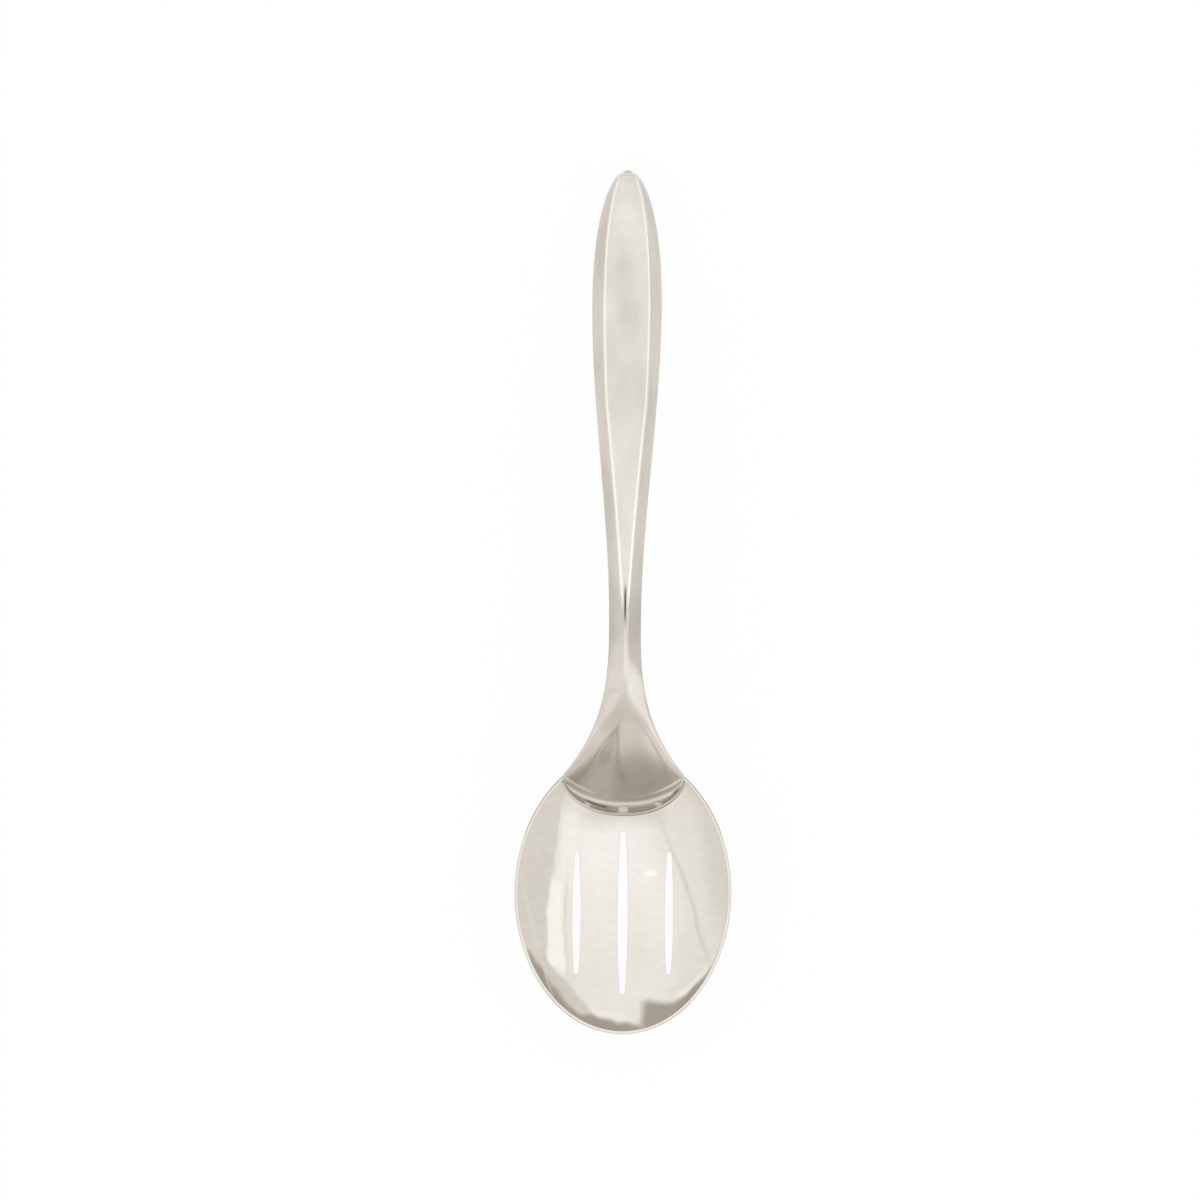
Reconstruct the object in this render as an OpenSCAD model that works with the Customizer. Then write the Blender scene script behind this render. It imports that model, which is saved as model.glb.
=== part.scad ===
// Slotted serving spoon: a pressed oval bowl with three slots, held by a hollow
// handle of two half shells. It lies on a table, bowl up, with the handle along +Y.

/* [Overall] */
// Length from the tip of the bowl to the end of the handle
length = 254; // [244:1:266]

/* [Bowl] */
// Length of the oval bowl, whose upper end is hidden under the handle
bowl_l = 83.2; // [79:0.2:88]
// Width of the bowl
bowl_w = 64; // [60:0.5:69]
// Height of the rim above the flat under the bowl
bowl_h = 13; // [11.5:0.25:15]
// Thickness of the sheet at the bottom of the bowl
bowl_t = 1.1; // [0.9:0.1:1.4]
// Width of the polished edge of the rim, seen from above
rim_w = 1; // [0.7:0.1:1.3]

/* [Slots] */
// Length of the middle slot
mid_slot_l = 48; // [40:1:54]
// Greatest width of the middle slot
mid_slot_w = 3.1; // [2:0.1:4]
// Length of each side slot
side_slot_l = 36; // [28:1:42]
// Greatest width of each side slot
side_slot_w = 2.5; // [1.8:0.1:3.5]
// Distance between the centre lines of two slots
slot_pitch = 13.6; // [10:0.2:15]
// Distance from the middle of the bowl forward to the middle of the slots
slot_forward = 6.2; // [4:0.2:8]

/* [Handle] */
// Greatest width of the grip
grip_w = 20.3; // [17:0.1:24]
// Height of the grip's long facet above the seam
grip_front = 5; // [4:0.1:6.5]
// Depth of the grip's rounded back below the seam
grip_back = 6.4; // [5:0.1:8]
// Distance from the end of the handle to the widest place of the grip
grip_reach = 40; // [32:0.5:48]
// Width of the neck at its narrowest
neck_w = 9.2; // [8:0.1:11]
// Height of the ridge above the seam at the neck
neck_front = 3.3; // [2.8:0.1:4]
// Depth of the back below the seam at the neck
neck_back = 3.4; // [2.8:0.1:4]
// Length of the flare, from its corners at the rim to the neck
flare_l = 44.7; // [40:0.5:50]
// Clear height under the neck when the spoon lies on a table
arch_h = 22.6; // [20:0.2:26]
// Width of the flare where its corners meet the rim of the bowl
flare_w = 35.4; // [32:0.2:39]
// Thickness of the half shells
shell_t = 0.8; // [0.6:0.05:1]

/* [Lip] */
// How far the scoop's lip bows forward of its corners
lip_bow = 6.5; // [5:0.1:8]
// Height of the lip above the inside of the bowl
lip_h = 3.4; // [2.8:0.1:4]
// How far the wall of the lip runs forward as it comes down to the bowl
lip_wall_l = 5.3; // [4:0.1:6.5]
// How far the tongue of the back shell bows forward under the bowl
tongue_bow = 8.5; // [6:0.1:11]

/* [Welds] */
// Height of the seam weld between the two shells
seam_h = 0.6; // [0.4:0.05:0.8]
// How far the seam weld stands proud of the shells
seam_crown = 0.06; // [0.02:0.01:0.1]
// Leg of the fillet weld along the lip
lip_leg = 0.6; // [0.4:0.05:0.9]
// Leg of the fillet weld under the bowl
heel_leg = 1.4; // [0.8:0.1:2]

/* [Hidden] */
$fn = 180;

// Gap left where one curved sheet lies on another
fit = 0.1;
// Overrun of a cut past the face that it opens
over = 1;

// Places along the spoon
tip_y = length / 2;
bowl_y = bowl_l / 2 - length / 2;
grip_y = tip_y - grip_reach;
corner_share = flare_w / bowl_w;
corner_y = bowl_y + bowl_l / 2 * sqrt(1 - corner_share * corner_share);
neck_y = corner_y + flare_l;
lip_y = corner_y - lip_bow;

// Bowl section: level to this share of its radius, then one arc up to the rim
bowl_flat_share = 0.02;
// Depth to which the bottom is pressed flat outside, so that the bowl stands still
foot_press = 0.15;

// Slot shape: width of an end against the middle
slot_end_share = 0.56;

// Side view of the handle: where the back comes down to the table, and the nose
rest_reach = 14;
nose_l = 4;
tip_share = 0.8;
flare_front = 1.3;
flare_back = 1.9;
flare_power = 2.9;
edge_power = 2;
mid_power = 1.8;
end_power = 2.2;

// Sections of the handle: shares of the half width that the facet takes
facet_share = 0.65;
ridge_share = 0.06;
lip_facet_share = 0.45;
// The facet opens and has its full share at these parts of the way from neck to tip
facet_from_share = 0.03;
facet_to_share = 0.48;
facet_power = 0.58;
// Powers of the curve from the facet down to the seam, at the grip and at the lip
crease_power = 1.05;
crease_root = 0.85;
lip_power = 3;
lip_root = 0.5;
back_power = 2.3;
back_root = 0.5;
// The bow starts this share of the way from the neck to the corners
bow_from_share = 0.3;
// The neck's crease lasts this share of the way to the corners, then melts over this share
melt_from_share = 0.38;
melt_share = 0.45;

// Lip: the short side of its wall at the corners, its outline, and how far the
// knee that it rolls over lies towards its foot and down to it
lip_side = 1.6;
lip_side_power = 2.2;
lip_side_root = 0.6;
lip_roll_share = 0.62;
lip_dip_share = 0.34;
lip_rows = 4;
// A leaning sheet measures this much more straight down than across
lean_share = 1.3;
// How softly the back shell leaves the bowl
heel_blend = 1.6;
// How far down the end of the tongue its weld reaches
heel_face_share = 0.8;
// Past the rim the bowl's surfaces are taken to go on this steeply
rim_slope_share = 2;

// Sides of the circles whose arcs make the slots, and of the slots' round ends
slot_sides = 720;
slot_end_sides = 24;
// Mesh of the shells: rows along, and columns across each half
rows = 44;
// The seam weld starts this many rows back from the rim
weld_from = 3;
facet_cols = 2;
bevel_cols = 6;
half_cols = facet_cols + bevel_cols;

steel = [0.86, 0.84, 0.81];
weld_steel = [0.8, 0.78, 0.75];

// Ease helpers: shares from 0 to 1
function clip(u) = max(0, min(1, u));
function smooth(u) = let (v = clip(u)) v * v * (3 - 2 * v);
function ease_out(u, power) = 1 - pow(1 - u, power);
function blend(a, b, u) = a + (b - a) * u;
function soft_min(a, b, width) =
    let (near = max(0, width - abs(a - b)) / width) min(a, b) - near * near * width / 4;

// Bowl: one arc from the bottom up to the rim, across half the width
function arc_r(half, h) = let (run = half * (1 - bowl_flat_share)) (run * run + h * h) / (2 * h);
function arc_z(share, half, h) =
    let (
        run = max(0, half * (clip(share) - bowl_flat_share)),
        past = max(0, share - 1) * half,
        arc = arc_r(half, h)
    )
    arc - sqrt(arc * arc - run * run) + past * rim_slope_share;
// Height of the bowl's outside and of its inside above the table
function outside_z(x, y) =
    let (share = norm([2 * x / bowl_w, 2 * (y - bowl_y) / bowl_l]))
    max(0, arc_z(share, bowl_w / 2, bowl_h + foot_press) - foot_press);
function inside_z(x, y) =
    let (half_l = bowl_l / 2 - rim_w, half = bowl_w / 2 - rim_w)
    bowl_t + arc_z(norm([x / half, (y - bowl_y) / half_l]), half, bowl_h - bowl_t);

// Handle in plan: how far a place lies towards the grip, the tip or the corners
function to_grip(y) = smooth((y - neck_y) / (grip_y - neck_y));
function to_corner(y) = clip((neck_y - y) / (neck_y - corner_y));
function round_end(y, from, to) = sqrt(max(0, 1 - pow(max(0, y - from) / (to - from), end_power)));

// Half width, and heights above and below the seam, each drawn in by inset
function half_w(y, inset) =
    (blend(neck_w, grip_w, to_grip(y)) / 2
        + (flare_w - neck_w) / 2 * pow(to_corner(y), flare_power) - inset)
    * round_end(y, grip_y, tip_y - inset);
function taper(y) = blend(1, tip_share, smooth((y - grip_y) / grip_reach));
function side_h(y, grip, neck, flare) =
    blend(neck, grip, to_grip(y)) * taper(y)
        + (flare - neck) * (1 - ease_out(1 - to_corner(y), mid_power));
function nose(y, inset) = round_end(y, tip_y - nose_l, tip_y - inset);
function front_h(y, inset) =
    (side_h(y, grip_front, neck_front, flare_front) - seam_h / 2 - inset) * nose(y, inset);
function back_h(y, inset) =
    (side_h(y, grip_back, neck_back, flare_back) - seam_h / 2 - inset) * nose(y, inset);

// Handle in side view: the seam, and the middle of the sheet pair on the centre line
neck_z = arch_h + neck_back;
corner_z = bowl_h + fit + seam_h / 2;
lip_z = inside_z(0, lip_y) + lip_h - flare_front;
function rest_z(y) = arch_h * (1 - smooth((y - neck_y) / (tip_y - rest_reach - neck_y)));
function edge_z(y) = y > neck_y
    ? rest_z(y) + side_h(y, grip_back, neck_back, flare_back)
    : corner_z + (neck_z - corner_z) * ease_out((y - corner_y) / (neck_y - corner_y), edge_power);
function mid_z(y) = y > neck_y
    ? edge_z(y)
    : lip_z + (neck_z - lip_z) * ease_out((y - lip_y) / (neck_y - lip_y), mid_power);

// Handle sections: the share of the half width at each column
function facet(y) = y > neck_y
    ? let (way = ((y - neck_y) / (tip_y - neck_y) - facet_from_share) / (facet_to_share - facet_from_share))
        blend(ridge_share, facet_share, pow(clip(way), facet_power))
    : blend(ridge_share, lip_facet_share, smooth((to_corner(y) - melt_from_share) / (1 - melt_from_share)));
function column(j, facet_to) = let (a = abs(j)) sign(j) * (a <= facet_cols
    ? facet_to * a / facet_cols
    : blend(facet_to, 1, sin(90 * (a - facet_cols) / bevel_cols)));
function melt(y) = smooth((to_corner(y) - melt_from_share) / melt_share);
function front_curve(s, y) =
    let (q = clip((abs(s) - facet(y)) / (1 - facet(y))))
    pow(1 - pow(q, blend(crease_power, lip_power, melt(y))), blend(crease_root, lip_root, melt(y)));
function back_curve(s) = pow(1 - pow(abs(s), back_power), back_root);
function bow(y, reach) = reach * pow(clip((to_corner(y) - bow_from_share) / (1 - bow_from_share)), 2);

// Stations close up towards both ends, and the inside ones stop short of the skin
function station_y(i, inset) =
    blend(corner_y + inset, tip_y - inset, (1 - cos(180 * i / rows)) / 2);
function mid_point_z(y, s, reach) =
    let (centre = mid_z(y - bow(y, reach))) blend(centre, edge_z(y), s * s);

// One point of each skin: row i, column j, inset 0 outside or shell_t inside
function front_point(i, j, inset) =
    let (y = station_y(i, inset), s = column(j, facet(y)))
    [
        s * half_w(y, inset),
        y - bow(y, lip_bow) * (1 - s * s),
        mid_point_z(y, s, lip_bow) + seam_h / 2 + front_h(y, inset) * front_curve(s, y)
    ];
function back_point(i, j, inset) =
    let (
        y = station_y(i, inset),
        s = column(j, facet(y)),
        px = s * half_w(y, inset),
        py = y - bow(y, tongue_bow) * (1 - s * s),
        free = mid_point_z(y, s, tongue_bow) - seam_h / 2 - back_h(y, inset) * back_curve(s),
        under_bowl = outside_z(px, py) - fit
    )
    [px, py, inset > 0
        ? min(free, under_bowl)
        : soft_min(free, under_bowl - shell_t * lean_share, heel_blend)];

// The foot of the lip stands on the inside of the bowl
function foot_y(s) =
    corner_y - lip_side - (lip_bow + lip_wall_l - lip_side)
        * pow(1 - pow(abs(s), lip_side_power), lip_side_root);
function on_bowl(x, y) = [x, y, inside_z(x, y) + fit];
function foot_point(j, inset) =
    let (s = column(j, facet(corner_y)))
    on_bowl(s * (flare_w / 2 - inset), foot_y(s) + inset * lean_share);
// The wall of the lip rolls over between the scoop's edge and its foot
function roll(j, u) =
    let (
        top = front_point(0, j, 0),
        foot = foot_point(j, 0),
        knee = [top.x, blend(top.y, foot.y, lip_roll_share), blend(top.z, foot.z, lip_dip_share)]
    )
    pow(1 - u, 2) * foot + 2 * u * (1 - u) * knee + u * u * top;
function lip_point(row, j, inset) =
    let (
        u = row / lip_rows,
        chord = blend(foot_point(j, 0), front_point(0, j, 0), u),
        inside = blend(foot_point(j, inset), front_point(0, j, inset), u)
    )
    inside + roll(j, u) - chord;

function join(lists) = [for (list = lists) each list];
function quad(a, b, c, d) = [[a, b, c], [a, c, d]];
function turn(faces) = [for (f = faces) [f[2], f[1], f[0]]];

// Faces of a sheet of n rows and c columns, outside first, that closes in a point
function sheet_faces(n, c) =
    let (tip = n * c, under = n * c + 1, under_tip = 2 * n * c + 1, last = (n - 1) * c)
    join(concat(
        [for (i = [0:n - 2], j = [0:c - 2]) let (p = i * c + j) concat(
            quad(p, p + c, p + c + 1, p + 1),
            quad(under + p, under + p + 1, under + p + c + 1, under + p + c))],
        [for (i = [0:n - 2]) let (l = i * c, r = i * c + c - 1) concat(
            quad(r, r + c, under + r + c, under + r),
            quad(l + c, l, under + l, under + l + c))],
        [for (j = [0:c - 2]) concat(
            quad(j, j + 1, under + j + 1, under + j),
            [[last + j, tip, last + j + 1]],
            [[under + last + j, under + last + j + 1, under_tip]])],
        [quad(last + c - 1, tip, under_tip, under + last + c - 1)],
        [quad(tip, last, under + last, under_tip)]
    ));

// A rod through a list of rings, all with as many points
function rod_faces(count, sides) = concat(
    join([for (i = [0:count - 2], k = [0:sides - 1])
        let (a = i * sides + k, b = i * sides + (k + 1) % sides)
        quad(a, b, b + sides, a + sides)]),
    [for (k = [1:sides - 2]) [0, k + 1, k]],
    [for (k = [1:sides - 2]) let (end = (count - 1) * sides) [end, end + k, end + k + 1]]
);
module rod(rings) {
    polyhedron(points = join(rings), faces = rod_faces(len(rings), len(rings[0])));
}

// A filled dish: one arc up to height h, and straight on to the top
module dish(w, l, h, top) {
    flat = w / 2 * bowl_flat_share;
    arc = arc_r(w / 2, h);
    scale([1, l / w, 1])
        rotate_extrude() {
            square([flat, top]);
            intersection() {
                translate([flat, arc])
                    circle(arc);
                square([w / 2, h]);
            }
            if (top > h)
                translate([0, h])
                    square([w / 2, top - h]);
        }
}

// A slot seen from above: two long arcs, widest in the middle, and round ends
module slot(l, w) {
    end_w = w * slot_end_share;
    straight = l - end_w;
    belly = (w - end_w) / 2;
    arc = (straight * straight / 4 + belly * belly) / (2 * belly);
    intersection() {
        translate([arc - w / 2, 0])
            circle(arc, $fn = slot_sides);
        translate([w / 2 - arc, 0])
            circle(arc, $fn = slot_sides);
        square([w, straight], center = true);
    }
    for (way = [-1, 1])
        translate([0, way * straight / 2])
            circle(d = end_w, $fn = slot_end_sides);
}

module slots() {
    for (place = [-1, 0, 1])
        translate([place * slot_pitch, bowl_y - slot_forward, -over])
            linear_extrude(bowl_h + over)
                slot(
                    place == 0 ? mid_slot_l : side_slot_l,
                    place == 0 ? mid_slot_w : side_slot_w);
}

module bowl() {
    color(steel)
        difference() {
            translate([0, bowl_y, -foot_press])
                dish(bowl_w, bowl_l, bowl_h + foot_press, bowl_h + foot_press);
            translate([0, bowl_y, bowl_t])
                dish(bowl_w - 2 * rim_w, bowl_l - 2 * rim_w, bowl_h - bowl_t, bowl_h);
            translate([-bowl_w / 2, bowl_y - bowl_l / 2, -over])
                cube([bowl_w, bowl_l, over]);
            slots();
        }
}

module handle_front_shell() {
    cols = [-half_cols:half_cols];
    skins = [for (inset = [0, shell_t]) concat(
        [for (row = [0:lip_rows - 1], j = cols) lip_point(row, j, inset)],
        [for (i = [0:rows - 1], j = cols) front_point(i, j, inset)],
        [[0, tip_y - inset, edge_z(tip_y) + seam_h / 2]])];
    color(steel)
        polyhedron(
            points = join(skins),
            faces = sheet_faces(lip_rows + rows, 2 * half_cols + 1));
}

module handle_back_shell() {
    cols = [-half_cols:half_cols];
    skins = [for (inset = [0, shell_t]) concat(
        [for (i = [0:rows - 1], j = cols) back_point(i, j, inset)],
        [[0, tip_y - inset, edge_z(tip_y) - seam_h / 2]])];
    color(steel)
        polyhedron(
            points = join(skins),
            faces = turn(sheet_faces(rows, 2 * half_cols + 1)));
}

// The bead fills the gap between the shells' edges and stands slightly proud
function seam_ring(front_in, front_out, back_out, back_in, proud) =
    [front_in, front_out, (front_out + back_out) / 2 + proud, back_out, back_in];
module handle_seam_weld() {
    tip_ring = seam_ring(
        [0, tip_y - shell_t, edge_z(tip_y) + seam_h / 2],
        [0, tip_y, edge_z(tip_y) + seam_h / 2],
        [0, tip_y, edge_z(tip_y) - seam_h / 2],
        [0, tip_y - shell_t, edge_z(tip_y) - seam_h / 2],
        [0, seam_crown, 0]);
    side = [for (way = [-1, 1]) [for (i = [weld_from:rows - 1]) seam_ring(
        front_point(i, way * half_cols, shell_t),
        front_point(i, way * half_cols, 0),
        back_point(i, way * half_cols, 0),
        back_point(i, way * half_cols, shell_t),
        [way * seam_crown, 0, 0])]];
    color(weld_steel)
        rod(concat(side[0], [tip_ring], [for (k = [len(side[1]) - 1:-1:0]) side[1][k]]));
}

// A fillet along the foot of the lip, on the inside of the bowl
module lip_weld() {
    color(weld_steel)
        rod([for (j = [-half_cols:half_cols])
            let (
                foot = foot_point(j, 0),
                s = foot.x / (flare_w / 2),
                toe = on_bowl(foot.x + lip_leg * s / 2, foot.y - lip_leg),
                wall = lip_point(1, j, 0)
            )
            [foot, toe, blend(foot, wall, clip(lip_leg / norm(wall - foot)))]]);
}

// A fillet along the end of the tongue, on the outside of the bowl
module heel_weld() {
    color(weld_steel)
        rod([for (j = [1 - half_cols:half_cols - 1])
            let (
                top = back_point(0, j, shell_t),
                bottom = back_point(0, j, 0),
                toe_y = bottom.y - heel_leg
            )
            [top, blend(top, bottom, heel_face_share), [bottom.x, toe_y, outside_z(bottom.x, toe_y) - fit]]]);
}

bowl();
handle_front_shell();
handle_back_shell();
handle_seam_weld();
lip_weld();
heel_weld();
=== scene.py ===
# %% [markdown]
# # A polished slotted serving spoon
# The spoon is three pressings of stainless steel sheet, welded together and polished to
# a mirror: an oval bowl with three slots, and two half shells that make a hollow handle.
# A mirror shows nothing of its own, only what stands around it. So this lesson has two
# halves: surfaces smooth enough to carry a reflection, and a studio worth reflecting.

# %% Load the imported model
import math

import bpy
import numpy as np
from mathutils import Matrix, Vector
from mathutils.geometry import delaunay_2d_cdt


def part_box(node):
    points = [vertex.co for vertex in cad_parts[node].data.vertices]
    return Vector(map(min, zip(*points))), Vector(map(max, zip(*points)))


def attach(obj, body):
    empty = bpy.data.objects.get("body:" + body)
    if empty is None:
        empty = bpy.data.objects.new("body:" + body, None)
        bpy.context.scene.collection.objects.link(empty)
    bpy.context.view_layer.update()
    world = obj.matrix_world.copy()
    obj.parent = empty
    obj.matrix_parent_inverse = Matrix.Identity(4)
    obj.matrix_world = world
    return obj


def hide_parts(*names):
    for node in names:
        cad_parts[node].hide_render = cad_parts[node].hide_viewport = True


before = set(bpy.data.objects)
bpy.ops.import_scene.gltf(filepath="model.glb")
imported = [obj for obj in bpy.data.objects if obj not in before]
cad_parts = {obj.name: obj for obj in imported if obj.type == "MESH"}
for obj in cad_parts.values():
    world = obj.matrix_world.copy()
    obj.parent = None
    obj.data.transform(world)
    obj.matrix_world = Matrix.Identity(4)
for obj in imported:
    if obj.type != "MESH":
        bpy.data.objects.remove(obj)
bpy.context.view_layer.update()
print("nodes:", sorted(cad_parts))

# %% [markdown]
# ## Sizes
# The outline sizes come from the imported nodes, so the visible pieces fit their solids.
# The rest are the sheet and weld sizes that a press shop would have on its drawing.

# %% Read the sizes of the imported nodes
MM = 0.001
bowl_low, bowl_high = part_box("bowl")
front_low, front_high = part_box("handle_front_shell")
bowl_w = bowl_high.x - bowl_low.x
bowl_l = bowl_high.y - bowl_low.y
bowl_h = bowl_high.z
bowl_y = (bowl_low.y + bowl_high.y) / 2
tip_y = front_high.y
flare_w = front_high.x - front_low.x
print(f"bowl {bowl_w / MM:.1f} x {bowl_l / MM:.1f} x {bowl_h / MM:.1f} mm")
print(f"handle ends at {tip_y / MM:.1f} mm, flare {flare_w / MM:.1f} mm wide")

# %% Set the sizes that the boxes don't give
bowl_t = 1.1 * MM
rim_w = 1.0 * MM
shell_t = 0.8 * MM
fit = 0.1 * MM
grip_w, grip_front, grip_back, grip_reach = 20.3 * MM, 5.0 * MM, 6.4 * MM, 40 * MM
neck_w, neck_front, neck_back, flare_l = 9.2 * MM, 3.3 * MM, 3.4 * MM, 44.7 * MM
flare_front, flare_back = 1.3 * MM, 1.9 * MM
arch_h, rest_reach, nose_l, tip_share = 22.6 * MM, 14 * MM, 4 * MM, 0.8
lip_bow, lip_h, lip_wall_l, lip_side = 6.5 * MM, 3.4 * MM, 5.3 * MM, 1.6 * MM
tongue_bow = 8.5 * MM
seam_h, seam_crown, lip_leg, heel_leg = 0.6 * MM, 0.06 * MM, 0.6 * MM, 1.4 * MM
slot_pitch, slot_forward, slot_end_share = 13.6 * MM, 6.2 * MM, 0.56
slot_sizes = [(36 * MM, 2.5 * MM), (48 * MM, 3.1 * MM), (36 * MM, 2.5 * MM)]

grip_y = tip_y - grip_reach
corner_y = bowl_y + bowl_l / 2 * math.sqrt(1 - (flare_w / bowl_w) ** 2)
neck_y = corner_y + flare_l
lip_y = corner_y - lip_bow
neck_z = arch_h + neck_back
corner_z = bowl_h + fit + seam_h / 2
print(f"the neck is narrowest at y = {neck_y / MM:.1f} mm")

# %% [markdown]
# ## Ease curves
# A pressing has no sudden change of direction: one width runs into the next through a
# smooth step. These few helpers work on whole arrays at once, which keeps a surface of
# many thousand points quick to make.

# %% Define the ease curves
def clip(u):
    return np.clip(u, 0.0, 1.0)


def smooth(u):
    v = clip(u)
    return v * v * (3 - 2 * v)


def ease_out(u, power):
    return 1 - np.power(np.maximum(1 - u, 0.0), power)


def mix(a, b, u):
    return a + (b - a) * u


def soft_min(a, b, width):
    near = np.maximum(0.0, width - np.abs(a - b)) / width
    return np.minimum(a, b) - near * near * width / 4


# %% [markdown]
# ## The bowl's section
# Across the bowl the sheet follows one arc from rim to rim. The same section, stretched
# lengthways, gives the oval. With the height known at every place, the slope is known
# too, and with it the exact direction that each point of the mirror faces.

# %% Define the height of both faces of the bowl
bowl_flat_share = 0.02
foot_press = 0.15 * MM
past_rim_slope = 2.0


def arc_z(share, half, h):
    reach = half * (1 - bowl_flat_share)
    arc = (reach * reach + h * h) / (2 * h)
    run = np.maximum(half * (clip(share) - bowl_flat_share), 0.0)
    return arc - np.sqrt(arc * arc - run * run) + np.maximum(share - 1, 0.0) * half * past_rim_slope


def outside_z(x, y):
    share = np.hypot(2 * x / bowl_w, 2 * (y - bowl_y) / bowl_l)
    return np.maximum(0.0, arc_z(share, bowl_w / 2, bowl_h + foot_press) - foot_press)


def inside_z(x, y):
    half, half_l = bowl_w / 2 - rim_w, bowl_l / 2 - rim_w
    return bowl_t + arc_z(np.hypot(x / half, (y - bowl_y) / half_l), half, bowl_h - bowl_t)


def facing(height, x, y, up):
    """The unit normal of a height field, upward or downward."""
    d = 0.01 * MM
    n = np.stack([
        (height(x - d, y) - height(x + d, y)) / (2 * d),
        (height(x, y - d) - height(x, y + d)) / (2 * d),
        np.ones_like(x),
    ], axis=-1)
    n /= np.linalg.norm(n, axis=-1, keepdims=True)
    return n if up else -n


print(f"inside of the bowl, at its middle: z = {float(inside_z(0.0, bowl_y)) / MM:.2f} mm")

# %% [markdown]
# ## The handle's sections
# The handle is drawn from sections across it. Each has a front curve and a back curve
# that meet at the seam. Along the grip the front is a flat facet between two ridges. The
# ridges run together at the neck, melt away below it, and the front sinks into a scoop.

# %% Define the handle in plan and in side view
flare_power, end_power, edge_power, mid_power = 2.9, 2.2, 2.0, 1.8


def to_grip(y):
    return smooth((y - neck_y) / (grip_y - neck_y))


def to_corner(y):
    return clip((neck_y - y) / (neck_y - corner_y))


def round_end(y, start, end):
    past = np.maximum(0.0, y - start) / (end - start)
    return np.sqrt(np.maximum(0.0, 1 - np.power(past, end_power)))


def half_w(y, inset):
    body = mix(neck_w, grip_w, to_grip(y)) / 2
    flare = (flare_w - neck_w) / 2 * np.power(to_corner(y), flare_power)
    return (body + flare - inset) * round_end(y, grip_y, tip_y - inset)


def side_h(y, grip, neck, flare):
    taper = mix(1.0, tip_share, smooth((y - grip_y) / grip_reach))
    fade = 1 - ease_out(1 - to_corner(y), mid_power)
    return mix(neck, grip, to_grip(y)) * taper + (flare - neck) * fade


def skin_h(y, inset, grip, neck, flare):
    nose = round_end(y, tip_y - nose_l, tip_y - inset)
    return (side_h(y, grip, neck, flare) - seam_h / 2 - inset) * nose


def front_h(y, inset):
    return skin_h(y, inset, grip_front, neck_front, flare_front)


def back_h(y, inset):
    return skin_h(y, inset, grip_back, neck_back, flare_back)


def edge_z(y):
    rest = arch_h * (1 - smooth((y - neck_y) / (tip_y - rest_reach - neck_y)))
    handle = rest + side_h(y, grip_back, neck_back, flare_back)
    rise = (neck_z - corner_z) * ease_out((y - corner_y) / (neck_y - corner_y), edge_power)
    return np.where(y > neck_y, handle, corner_z + rise)


lip_z = float(inside_z(0.0, lip_y)) + lip_h - flare_front


def mid_z(y):
    u = (y - lip_y) / (neck_y - lip_y)
    rise = (neck_z - lip_z) * (1 - np.power(np.maximum(1 - u, 0.0), mid_power))
    return np.where(y > neck_y, edge_z(y), lip_z + rise)


print(f"top of the neck: z = {(float(edge_z(neck_y)) + neck_front) / MM:.1f} mm")

# %% Define the section curves
# Each section is a curve over a share s, from -1 at one seam to 1 at the other. Below the
# neck the crease between the ridges turns into the soft hollow of the scoop.
facet_share, ridge_share, lip_facet_share = 0.65, 0.06, 0.45
facet_from_share, facet_to_share, facet_power = 0.03, 0.48, 0.58
crease_power, crease_root, lip_power, lip_root = 1.05, 0.85, 3.0, 0.5
back_power, back_root = 2.3, 0.5
bow_from_share, melt_from_share, melt_share = 0.3, 0.38, 0.45
ridge_round = 0.12


def facet(y):
    """Half of the facet's width, as a share of half of the handle's."""
    way = ((y - neck_y) / (tip_y - neck_y) - facet_from_share) / (facet_to_share - facet_from_share)
    grip = mix(ridge_share, facet_share, np.power(clip(way), facet_power))
    melted = smooth((to_corner(y) - melt_from_share) / (1 - melt_from_share))
    return np.where(y > neck_y, grip, mix(ridge_share, lip_facet_share, melted))


def front_curve(s, y):
    """The height of the front at a share s of its half width: 1 on the facet, 0 at the seam."""
    past = (np.abs(s) - facet(y)) / (1 - facet(y))
    rounded = past + np.sqrt(past * past + ridge_round ** 2)
    q = clip(rounded / (1 + math.sqrt(1 + ridge_round ** 2)))
    melt = smooth((to_corner(y) - melt_from_share) / melt_share)
    power, root = mix(crease_power, lip_power, melt), mix(crease_root, lip_root, melt)
    return np.power(np.maximum(1 - np.power(q, power), 0.0), root)


def back_curve(s):
    return np.power(np.maximum(1 - np.power(np.abs(s), back_power), 0.0), back_root)


def bow(y, reach):
    """How far the middle of a section runs on over the bowl, ahead of its two edges."""
    return reach * np.square(clip((to_corner(y) - bow_from_share) / (1 - bow_from_share)))


def middle_z(y, s, reach):
    centre = mid_z(y - bow(y, reach))
    return centre + (edge_z(y) - centre) * s * s


# %% Define the two skins of each shell
lean_share, heel_blend = 1.3, 1.6 * MM


def front_skin(y, s, inset):
    return np.stack([
        s * half_w(y, inset),
        y - bow(y, lip_bow) * (1 - s * s),
        middle_z(y, s, lip_bow) + seam_h / 2 + front_h(y, inset) * front_curve(s, y),
    ], axis=-1)


def back_skin(y, s, inset):
    x = s * half_w(y, inset)
    py = y - bow(y, tongue_bow) * (1 - s * s)
    free = middle_z(y, s, tongue_bow) - seam_h / 2 - back_h(y, inset) * back_curve(s)
    under = outside_z(x, py) - fit
    if inset > 0:
        z = np.minimum(free, under)
    else:
        z = soft_min(free, under - shell_t * lean_share, heel_blend)
    return np.stack([x, py, z], axis=-1)


# %% [markdown]
# ## From points to a mesh
# A surface made of a regular net of points takes a reflection well, because each corner's
# smooth normal is an even average of the faces round it. So each shell is one net outside
# and one inside, joined along their edges into a closed sheet.

# %% Make a piece from points and faces
sharp_angle = math.radians(38)


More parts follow.
